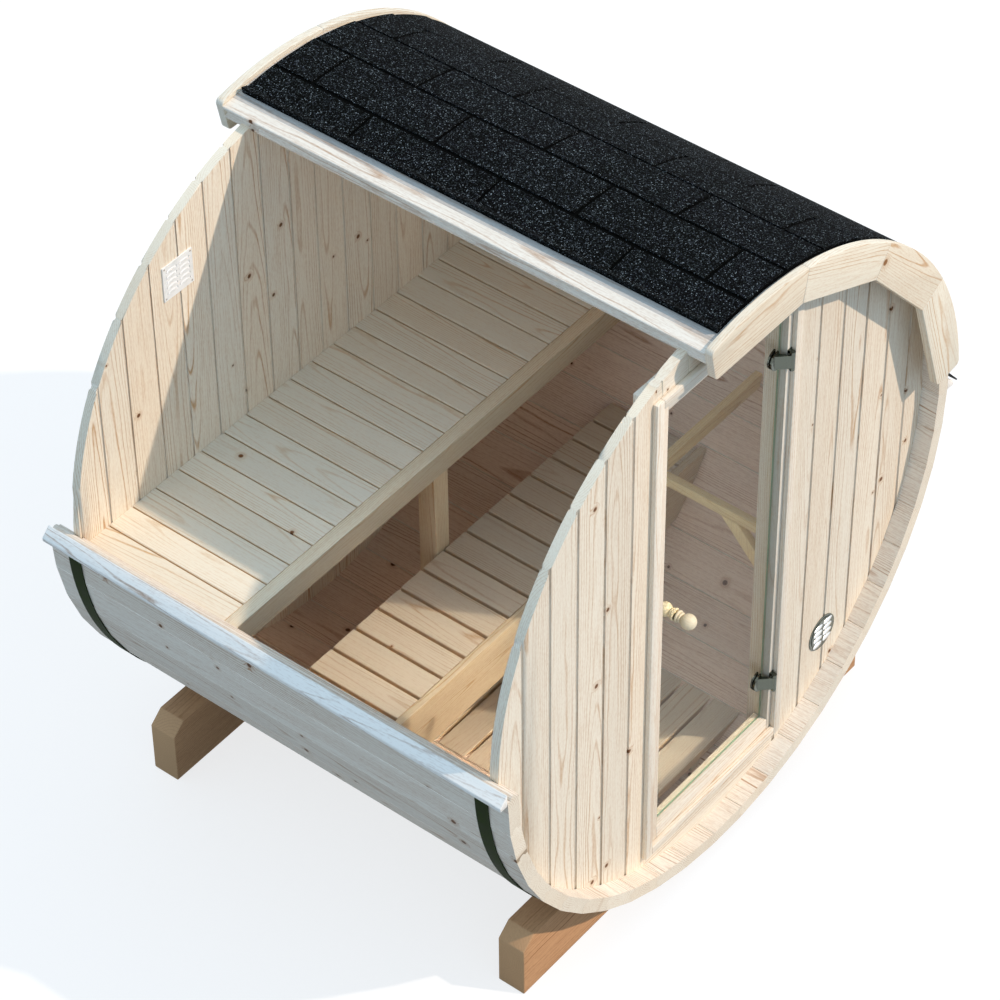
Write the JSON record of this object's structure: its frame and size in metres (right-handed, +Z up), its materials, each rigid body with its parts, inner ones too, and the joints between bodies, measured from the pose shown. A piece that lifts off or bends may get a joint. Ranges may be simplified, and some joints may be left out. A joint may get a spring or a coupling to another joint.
{
  "type": "barrel sauna",
  "caption": "Small wooden barrel sauna on cradles, open at the upper left, with a hinged glass door, a slatted bench, a step and a shingled roof.",
  "frame": {"origin": "ground level under the middle of the barrel", "axes": "+X across to the right seen from the door, +Y along the barrel from the door to the back wall, +Z up"},
  "size_m": [2.081, 1.65, 2.0609],
  "materials": {
    "stave_wood": "planed",
    "wall_wood": "planed",
    "frame_wood": "planed",
    "bench_wood": "planed",
    "cradle_wood": "sawn",
    "knob_wood": "turned",
    "band_steel": "satin",
    "drip_steel": "satin",
    "shingle": "granulated",
    "door_glass": "clear",
    "hinge_chrome": "polished",
    "vent_steel": "brushed",
    "vent_white": "matte"
  },
  "bodies": {
    "sauna": {"cradle_front": "cradle_wood", "cradle_back": "cradle_wood", "staves_crown": "stave_wood", "staves_right_upper": "stave_wood", "staves_right_lower": "stave_wood", "staves_bottom_right": "stave_wood", "staves_bottom_left": "stave_wood", "staves_left": "stave_wood", "band_front": "band_steel", "band_back": "band_steel", "back_wall": "wall_wood", "front_wall_left": "wall_wood", "front_wall_right": "wall_wood", "front_wall_over_door": "wall_wood", "front_wall_under_door": "wall_wood", "door_jamb_left": "frame_wood", "door_jamb_right": "frame_wood", "door_head": "frame_wood", "door_sill": "frame_wood", "door_trim": "frame_wood", "hinge_brackets": "hinge_chrome", "bench_slats": "bench_wood", "bench_apron": "bench_wood", "bench_ledger": "bench_wood", "bench_leg": "bench_wood", "step_slats": "bench_wood", "step_front_board": "bench_wood", "step_bearer": "bench_wood", "floor_slats": "bench_wood", "floor_bearers": "bench_wood", "guard_cross_rail": "bench_wood", "guard_side_rail": "bench_wood", "guard_brace": "bench_wood", "fascia_front": "frame_wood", "fascia_back": "frame_wood", "roof_shingles": "shingle", "eave_batten_left": "frame_wood", "eave_batten_right": "frame_wood", "eave_drip": "drip_steel", "vent_front": "vent_steel", "vent_back": "vent_white"},
    "door": {"door_glass": "door_glass", "door_knob": "knob_wood", "hinge_leaves": "hinge_chrome"}
  },
  "joints": [
    {"name": "door_hinge", "type": "hinge", "parent": "sauna", "child": "door", "pos_m": [0.262, -0.757, 1.048], "axis": [0, 0, 1], "range_deg": [0, 100]}
  ]
}
